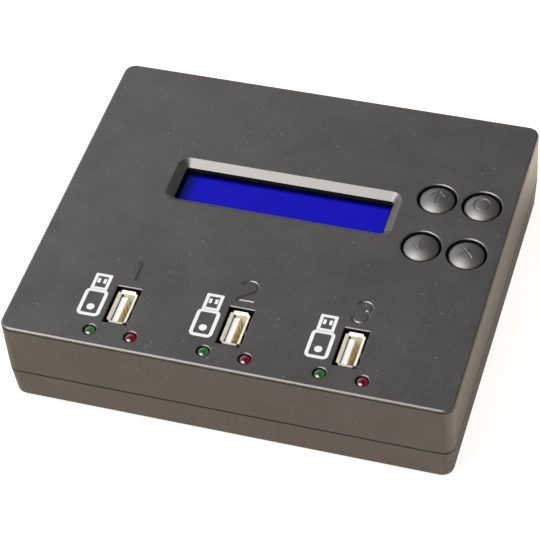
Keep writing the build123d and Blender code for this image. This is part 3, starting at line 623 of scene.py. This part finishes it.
for number, x in enumerate(ports_x, start=1):
    bpy.ops.object.select_all(action="DESELECT")
    bpy.ops.mesh.primitive_plane_add(
        size=1, location=(x * mm, port_y * mm, board_top_z * mm), scale=(1, 1, 1)
    )
    shell = bpy.context.object
    shell.name = f"formed_shell_{number}"
    edit(shell)
    bpy.ops.transform.resize(
        value=(socket_width * mm, socket_depth * mm, 1),
        center_override=(x * mm, port_y * mm, board_top_z * mm),
    )
    bpy.ops.mesh.select_all(action="SELECT")
    bpy.ops.mesh.bevel(offset=0.14 * mm, segments=3, affect="VERTICES")
    bpy.ops.mesh.select_all(action="SELECT")
    bpy.ops.mesh.delete(type="ONLY_FACE")
    bpy.ops.mesh.select_all(action="SELECT")
    bpy.ops.mesh.extrude_edges_move(
        TRANSFORM_OT_translate={"value": (0, 0, (straight_z - board_top_z) * mm)}
    )
    done()
    bpy.ops.object.transform_apply(location=True, rotation=True, scale=True)
    edit(shell)
    for out_x, out_y in ((1, 0), (-1, 0), (0, 1), (0, -1)):
        def rim(edge, out_x=out_x, out_y=out_y):
            """The straight stretch of the rim on one side of the tube."""
            middle = (edge.verts[0].co + edge.verts[1].co) / 2
            long_enough = (edge.verts[0].co - edge.verts[1].co).length > 3 * mm
            side = (middle.x - x * mm) * out_x / (socket_width / 2)
            side += (middle.y - port_y * mm) * out_y / (socket_depth / 2)
            return at_height(straight_z)(edge) and long_enough and side > 0.9 * mm
        pick("EDGE", rim)
        for out, rise in ((0.10, 0.20), (0.24, 0.20), (0.46, 0.15)):
            bpy.ops.mesh.extrude_edges_move(
                TRANSFORM_OT_translate={"value": (out * out_x * mm, out * out_y * mm, rise * mm)}
            )
        bpy.ops.mesh.select_mode(type="VERT")
        bpy.ops.mesh.bevel(offset=0.4 * mm, segments=3, affect="VERTICES")
    bpy.ops.mesh.select_all(action="SELECT")
    bpy.ops.mesh.normals_make_consistent(inside=False)
    done()
    apply(shell, "SOLIDIFY", thickness=strip_thickness * mm, offset=1.0, use_even_offset=True)
    windows = [
        block("window", (x - 4, port_y + y - 1.4, 24.8), (x + 4, port_y + y + 1.4, 31.7))
        for y in (-2.8, 2.8)
    ]
    carve(shell, windows)
    fingers = []
    for side in (-1, 1):
        for y in (-2.8, 2.8):
            wall_x = socket_width / 2
            near, far = sorted((x + side * wall_x, x + side * (wall_x + strip_thickness)))
            finger = block("finger", (near, port_y + y - 0.9, 31.4), (far, port_y + y + 0.9, 31.9))
            edit(finger)
            pick("FACE", at_height(31.4))
            for step_x, step_z in ((-0.4, -3.8), (0, -1.0), (0.2, -1.6)):
                push(step_x * side, 0, step_z)
            done()
            fingers.append(finger)
    for leg_x in (-2.71, 2.71):
        for leg_y in (-4.65, 4.65):
            low = (x + leg_x - 0.15, port_y + leg_y - 0.5, 16.8)
            fingers.append(block("leg", low, (low[0] + 0.3, low[1] + 1.0, 20.2)))
    shell = joined(f"formed_shell_{number}", [shell] + fingers)
    smooth(shell, 40)
    dress(shell, nickel, replaces=[f"usb_shell_{number}"])


# The tongue in each socket is white moulded plastic on a solid base that fills the foot of
# the shell, and four gold-plated springs are pressed into its right face.
white_plastic, shader, place = new_finish("white_plastic", Specular_IOR_Level=0.45)
grain = place.noise(1500, 2.0, 0.5)
grain.blend((0.90, 0.90, 0.89, 1), (0.96, 0.96, 0.95, 1)).to(shader.inputs["Base Color"])
(grain * 0.15 + 0.25).to(shader.inputs["Roughness"])
bump(shader, grain, 0.01, 0.3)
repaint(white_plastic, "display_backlight")
tongue_face, tongue_thickness, half_tongue, tongue_top = -0.06, 2.15, 5.55, 32.6
for number, x in enumerate(ports_x, start=1):
    face_x = x + tongue_face
    tongue = block(
        f"moulded_tongue_{number}",
        (face_x - tongue_thickness, port_y - half_tongue, 20.0),
        (face_x, port_y + half_tongue, tongue_top),
    )
    edit(tongue)
    pick("EDGE", lambda edge: standing(edge) or at_height(tongue_top)(edge))
    bpy.ops.mesh.bevel(offset=0.3 * mm, segments=3, affect="EDGES")
    done()
    base = block("base", (x - 2.5, port_y - 6.2, board_top_z), (x + 2.5, port_y + 6.2, 23.3))
    carve(tongue, [base], "UNION")
    slots = [
        block("slot", (face_x, port_y + y - 0.56, 19.0), (face_x + 0.25, port_y + y + 0.56, 24.0))
        for y in (-3.5, -1, 1, 3.5)
    ]
    carve(tongue, slots)
    smooth(tongue)
    dress(tongue, white_plastic, replaces=[f"usb_tongue_{number}"])
    repaint(gold, f"usb_contacts_{number}")


# A green and a red lamp stand in front of each socket. They are tinted clear epoxy, cast
# with a round dome, and reach just above the top of the case.
def tinted(name, deep, lit):
    """Tinted epoxy, painted lighter on the side away from the softbox, where the light gathers."""
    finish, shader, place = new_finish(name, IOR=1.9)
    facing = place.node("ShaderNodeNewGeometry", output="Normal")
    # Painted light: the side facing away from the softbox is painted lighter.
    away = facing.part("X") * 0.8 + facing.part("Y") * 0.3
    painted_gathered_light = (away + place.noise(900) * 0.2).between(-0.4, 0.8)
    painted_gathered_light.blend(deep, lit).to(shader.inputs["Base Color"])
    (place.noise(2500) * 0.04 + 0.12).to(shader.inputs["Roughness"])
    return finish


lamp_finishes = {
    "green": tinted("green_resin", (0.002, 0.022, 0.005, 1), (0.045, 0.21, 0.055, 1)),
    "red": tinted("red_resin", (0.04, 0.0, 0.003, 1), (0.26, 0.0, 0.012, 1)),
}
lamp_step, lamp_y, lamp_radius = 6.9, -58.1, 2.0
for colour, lamp_x in (("green", -lamp_step), ("red", lamp_step)):
    lamps = []
    for x in ports_x:
        rings = [(lamp_radius, 29.5), (lamp_radius, 33.75), (1.96, 34.0), (1.84, 34.28)]
        rings += [(1.62, 34.55), (1.3, 34.77), (0.9, 34.91), (0.45, 34.98), (0, 35.0)]
        lamps.append(turned("lamp", x + lamp_x, lamp_y, rings, 40))
    lamps = joined(f"{colour}_domes", lamps)
    smooth(lamps, 60)
    dress(lamps, lamp_finishes[colour], replaces=[f"{colour}_lamps"])


# Display module: liquid-crystal glass over a light block, joined by two rubber strips and held in a
# folded steel frame. The blue field fades to navy at its left end, and the shadow that the rim of
# the window casts on its left and back edges is painted into it.
display_blue, shader, place = new_finish("display_blue", Specular_IOR_Level=0.08)
left_shade = place.part("X").between(-38.5 * mm, -37.2 * mm)
left_fade = place.part("X").between(-37.6 * mm, -32.0 * mm)
back_shade = (0 - place.part("Y")).between(-19.9 * mm, -18.0 * mm)
# Painted shadow of the window rim along the left and back edges.
lit = left_shade * (back_shade * 0.97 + 0.03)
grain = place.noise(2400, 2.0, 0.5)
lit = lit * (grain * 0.12 + 0.90)
deep = left_fade.blend((0.0, 0.004, 0.045, 1), (0.005, 0.004, 0.30, 1))
glowing = left_fade.blend((0.0, 0.0035, 0.032, 1), (0.005, 0.004, 0.188, 1))
lit.blend((0.001, 0.001, 0.006, 1), deep).to(shader.inputs["Base Color"])
lit.blend((0.0, 0.0, 0.002, 1), glowing).to(shader.inputs["Emission Color"])
shader.inputs["Emission Strength"].default_value = 1.0
(grain * 0.1 + 0.15).to(shader.inputs["Roughness"])
repaint(display_blue, "display_glass")
strip_rubber, shader, place = new_finish("strip_rubber", Specular_IOR_Level=0.3)
layer = place.part("Z") * 1200.0
layers = layer.math("FRACT", layer, 0.0)
layers.blend((0.30, 0.30, 0.32, 1), (0.60, 0.60, 0.62, 1)).to(shader.inputs["Base Color"])
(place.noise(1500) * 0.2 + 0.6).to(shader.inputs["Roughness"])
repaint(strip_rubber, "contact_strips")


# Four round keys with a shallow dome, moulded in smooth satin ABS. Each has its sign cut
# into it: an arrow up, a ring, an arrow down and a cross.
def groove(strokes, radius, surface, sink):
    """Round-bottomed strokes that follow a surface, each a solid to cut away."""
    tubes = []
    for stroke in strokes:
        bpy.ops.object.select_all(action="DESELECT")
        bpy.ops.curve.primitive_nurbs_path_add()
        tube = bpy.context.object
        tube.data.splines.new("POLY")
        tube.data.splines.remove(tube.data.splines[0])
        spline = tube.data.splines[0]
        closed = stroke[0] == stroke[-1]
        points = stroke[:-1] if closed else stroke
        spline.points.add(len(points) - 1)
        spline.use_cyclic_u = closed
        for point, (x, y) in zip(spline.points, points):
            point.co = (x * mm, y * mm, (surface(x, y) + sink) * mm, 1)
        tube.data.bevel_depth = radius * mm
        tube.data.bevel_resolution = 3
        tube.data.use_fill_caps = True
        bpy.ops.object.convert(target="MESH")
        tube = bpy.context.object
        edit(tube)
        bpy.ops.mesh.select_all(action="SELECT")
        bpy.ops.mesh.remove_doubles(threshold=1e-6)
        bpy.ops.mesh.normals_make_consistent(inside=False)
        done()
        tubes.append(tube)
    return tubes


def straight(start, end, steps=6):
    """Points on a straight line between two points."""
    return [
        (start[0] + (end[0] - start[0]) * i / steps, start[1] + (end[1] - start[1]) * i / steps)
        for i in range(steps + 1)
    ]


def arc(x, y, radius, start, end, steps=18):
    """Points on a circle between two angles in degrees."""
    turns = [math.radians(start + (end - start) * i / steps) for i in range(steps + 1)]
    return [(x + radius * math.cos(turn), y + radius * math.sin(turn)) for turn in turns]


key_plastic, shader, place = new_finish("key_plastic", IOR=2.2)
grain = place.noise(2600, 3.0, 0.6)
cloud = place.noise(200, 2.0, 0.5)
(grain * 0.5 + cloud * 0.5).blend((0.024, 0.023, 0.023, 1), (0.042, 0.040, 0.040, 1)).to(
    shader.inputs["Base Color"]
)
(cloud * 0.06 + grain * 0.05 + 0.45).to(shader.inputs["Roughness"])
bump(shader, grain, 0.01, 0.25)
key_radius, key_edge_z, key_top_z = 5.9, 34.2, 36.2
dome_rise = key_top_z - key_edge_z
dome_radius = (key_radius**2 + dome_rise**2) / (2 * dome_rise)


def dome_height(x, y):
    """Height of a key's dome at a place measured from the middle of the key."""
    return key_top_z - dome_radius + math.sqrt(dome_radius**2 - min(x**2 + y**2, 36))


signs = {
    "up": [
        straight((0, -2.8), (0, 2.8), 8),
        straight((-2.3, 0.4), (0, 2.8)),
        straight((2.3, 0.4), (0, 2.8)),
    ],
    "select": [arc(0, 0, 2.6, 0, 360, 40)],
    "down": [
        straight((0, 2.8), (0, -2.8), 8),
        straight((-2.3, -0.4), (0, -2.8)),
        straight((2.3, -0.4), (0, -2.8)),
    ],
    "cancel": [
        straight((-2.1, -2.1), (2.1, 2.1), 8),
        straight((-2.1, 2.1), (2.1, -2.1), 8),
    ],
}
for key, (x, y) in keys.items():
    rings = [(5.5, 29.8), (5.7, 29.9), (5.7, 33.0), (key_radius, 33.1), (key_radius, 33.9)]
    rings += [(5.86, 34.06), (5.75, 34.22)]
    for radius in (5.4, 4.8, 4.1, 3.4, 2.7, 2.0, 1.3, 0.6, 0):
        rings.append((radius, dome_height(radius, 0)))
    cap = turned(f"{key}_cap", x, y, rings, 64)
    strokes = [[(x + u, y + v) for u, v in stroke] for stroke in signs[key]]
    surface = lambda px, py, x=x, y=y: dome_height(px - x, py - y)
    carve(cap, groove(strokes, 0.36, surface, 0.08))
    carve(cap, [block("socket", (x - 1.95, y - 1.95, 29.0), (x + 1.95, y + 1.95, 33.0))])
    smooth(cap, 40)
    dress(cap, key_plastic, f"{key}_button", [f"{key}_key"])


# Upper half of the case: an injection-moulded shell of the same charcoal ABS, with the
# bevelled window, the openings of keys, sockets and lamps, and the numerals sunk into it.
def sunk_opening(name, x, y, width, depth, corner, run, fall):
    """A cutter for an opening whose rim slopes in by run over fall."""
    over, low_z = 0.1, 31.0
    reach = run + over * run / fall
    half_x, half_y = width / 2 + reach, depth / 2 + reach
    cutter = block(
        name, (x - half_x, y - half_y, top_z + over), (x + half_x, y + half_y, top_z + 1)
    )
    edit(cutter)
    pick("EDGE", standing)
    bpy.ops.mesh.bevel(offset=(corner + reach) * mm, segments=8, affect="EDGES")
    pick("FACE", at_height(top_z + over))
    bpy.ops.mesh.inset(thickness=reach * mm, depth=(fall + over) * mm)
    push(0, 0, low_z - (top_z - fall))
    done()
    return cutter


rim_z, rim_inset, rim_drop, rim_width, roof_z = 14.0, 0.7, 0.4, 1.7, 32.4
top_shell = block("top_shell", (-half_width, -half_depth, rim_z), (half_width, half_depth, top_z))
edit(top_shell)
pick("EDGE", standing)
bpy.ops.mesh.bevel(offset=corner_radius * mm, segments=12, affect="EDGES")
pick("EDGE", at_height(top_z))
bpy.ops.mesh.bevel(offset=0.9 * mm, segments=6, affect="EDGES")
pick("FACE", at_height(rim_z))
bpy.ops.mesh.inset(thickness=rim_inset * mm)
push(0, 0, -rim_drop)
bpy.ops.mesh.inset(thickness=rim_width * mm)
push(0, 0, roof_z - rim_z + rim_drop)
done()
groove_deep = 0.18
ring = block(
    "ring", (-half_width - 1, -half_depth - 1, 33.6), (half_width + 1, half_depth + 1, 34.0)
)
heart = block(
    "heart",
    (groove_deep - half_width, groove_deep - half_depth, 33),
    (half_width - groove_deep, half_depth - groove_deep, 35),
)
edit(heart)
pick("EDGE", standing)
bpy.ops.mesh.bevel(offset=(corner_radius - groove_deep) * mm, segments=12, affect="EDGES")
done()
carve(ring, [heart])
half_collar_x, half_collar_y = 38.725, 9.725
collar = block(
    "collar",
    (window_x - half_collar_x, window_y - half_collar_y, 31.2),
    (window_x + half_collar_x, window_y + half_collar_y, 33),
)
top_posts = [collar]
for x in (-post_x, post_x):
    for y in (-post_y, post_y):
        top_posts.append(turned("post", x, y, [(post_radius, 19.9), (post_radius, 33.0)]))
bosses = ((-46.9, 13.03), (56.2, 12.4))
for x, y in bosses:
    top_posts.append(turned("boss", x, y, [(3.0, 25.6), (3.0, 33.0)]))
carve(top_shell, top_posts, "UNION")
cutters = [ring]
window = {"width": 73.05, "depth": 15.05, "corner": 1.2, "run": 2.85, "fall": 1.95}
cutters.append(sunk_opening("window", window_x, window_y, **window))
port = {"width": 8.4, "depth": 15.8, "corner": 0.2, "run": 0.25, "fall": 0.25}
for x in ports_x:
    cutters.append(sunk_opening("port", x, port_y, **port))
    for lamp_x in (-lamp_step, lamp_step):
        rings = [(2.2, 31), (2.2, 34.6), (2.5, 34.9), (2.6, 35.0), (2.6, 36)]
        cutters.append(turned("lamp_hole", x + lamp_x, lamp_y, rings, 48))
for x, y in keys.values():
    rings = [(6.75, 31), (6.75, 34.6), (7.05, 34.9), (7.15, 35.0), (7.15, 36)]
    cutters.append(turned("key_hole", x, y, rings, 72))
for x in (-post_x, post_x):
    for y in (-post_y, post_y):
        cutters.append(turned("pilot", x, y, [(1.53, 19), (1.53, 27.8)], 32))
for x, y in bosses:
    cutters.append(turned("pilot", x, y, [(1.13, 25), (1.13, 32.0)], 24))
inlet_x, inlet_z, back_wall_y = -45, 26.4, 62.9
inlet_hole = turned("inlet_hole", inlet_x, 0, [(4.2, -3), (4.2, 3)], 48)
edit(inlet_hole)
bpy.ops.mesh.select_all(action="SELECT")
bpy.ops.transform.rotate(
    value=math.radians(90), orient_axis="X", center_override=(inlet_x * mm, 0, 0)
)
bpy.ops.transform.translate(value=(0, back_wall_y * mm, inlet_z * mm))
done()
cutters.append(inlet_hole)
carve(top_shell, [joined("cutters", cutters)])
one = [straight((0.9, -4.2), (0.9, 4.2)), straight((0.9, 4.2), (-0.7, 3.0), 3)]
two = [
    arc(-0.15, 1.6, 2.75, 165, -35, 20) + [(0.9, -0.9), (-3.1, -4.2)],
    straight((-3.1, -4.2), (2.9, -4.2)),
]
three = [arc(-0.1, 1.95, 2.5, 165, -85, 20), arc(-0.35, -1.85, 2.7, 80, -165, 22)]
for numeral, x in zip((one, two, three), ports_x):
    strokes = [[(x + u, numeral_y + v) for u, v in stroke] for stroke in numeral]
    carve(top_shell, groove(strokes, 0.7, lambda px, py: top_z, 0.18))
smooth(top_shell)
dress(top_shell, case_plastic, replaces=["top_cover"])


# A white memory-stick sign is screen-printed beside each socket, in thick ink that stands a
# few hundredths of a millimetre above the plastic.
ink, shader, place = new_finish("white_ink", Specular_IOR_Level=0.35)
grain = place.noise(1800, 3.0, 0.6)
grain.blend((0.86, 0.86, 0.87, 1), (0.94, 0.94, 0.95, 1)).to(shader.inputs["Base Color"])
(grain * 0.2 + 0.4).to(shader.inputs["Roughness"])
bump(shader, grain, 0.01, 0.4)


def rounded(name, x, y, half_x, half_y, low, high, corner):
    """A block between two heights, with its upright edges rounded."""
    piece = block(name, (x - half_x, y - half_y, low), (x + half_x, y + half_y, high))
    if corner > 0:
        edit(piece)
        pick("EDGE", standing)
        bpy.ops.mesh.bevel(offset=corner * mm, segments=8, affect="EDGES")
        done()
    return piece


def printed(x, y, half_x, half_y, corner, line=0):
    """A rounded patch of ink, or a line of that width round its edge."""
    patch = rounded("ink", x, y, half_x, half_y, top_z - 0.02, top_z + 0.03, corner)
    if line:
        inner_x, inner_y = half_x - line, half_y - line
        hole = rounded("hole", x, y, inner_x, inner_y, top_z - 1, top_z + 1, corner - line)
        carve(patch, [hole])
    return patch


for number, x in enumerate(ports_x, start=1):
    sign_x = x - 9.85
    marks = [
        printed(sign_x, -46.95, 3.9, 5.75, 1.8, 1.2),  # body of the stick
        printed(sign_x, -37.9, 2.9, 3.45, 0.4, 1.1),  # its plug
        printed(sign_x - 1.0, -37.5, 0.5, 1.0, 0.2),  # left contact
        printed(sign_x + 1.0, -37.5, 0.5, 1.0, 0.2),  # right contact
        printed(sign_x, -48.9, 1.3, 1.3, 1.25),  # its signal lamp
    ]
    sign = joined(f"printed_sign_{number}", marks)
    smooth(sign)
    dress(sign, ink)
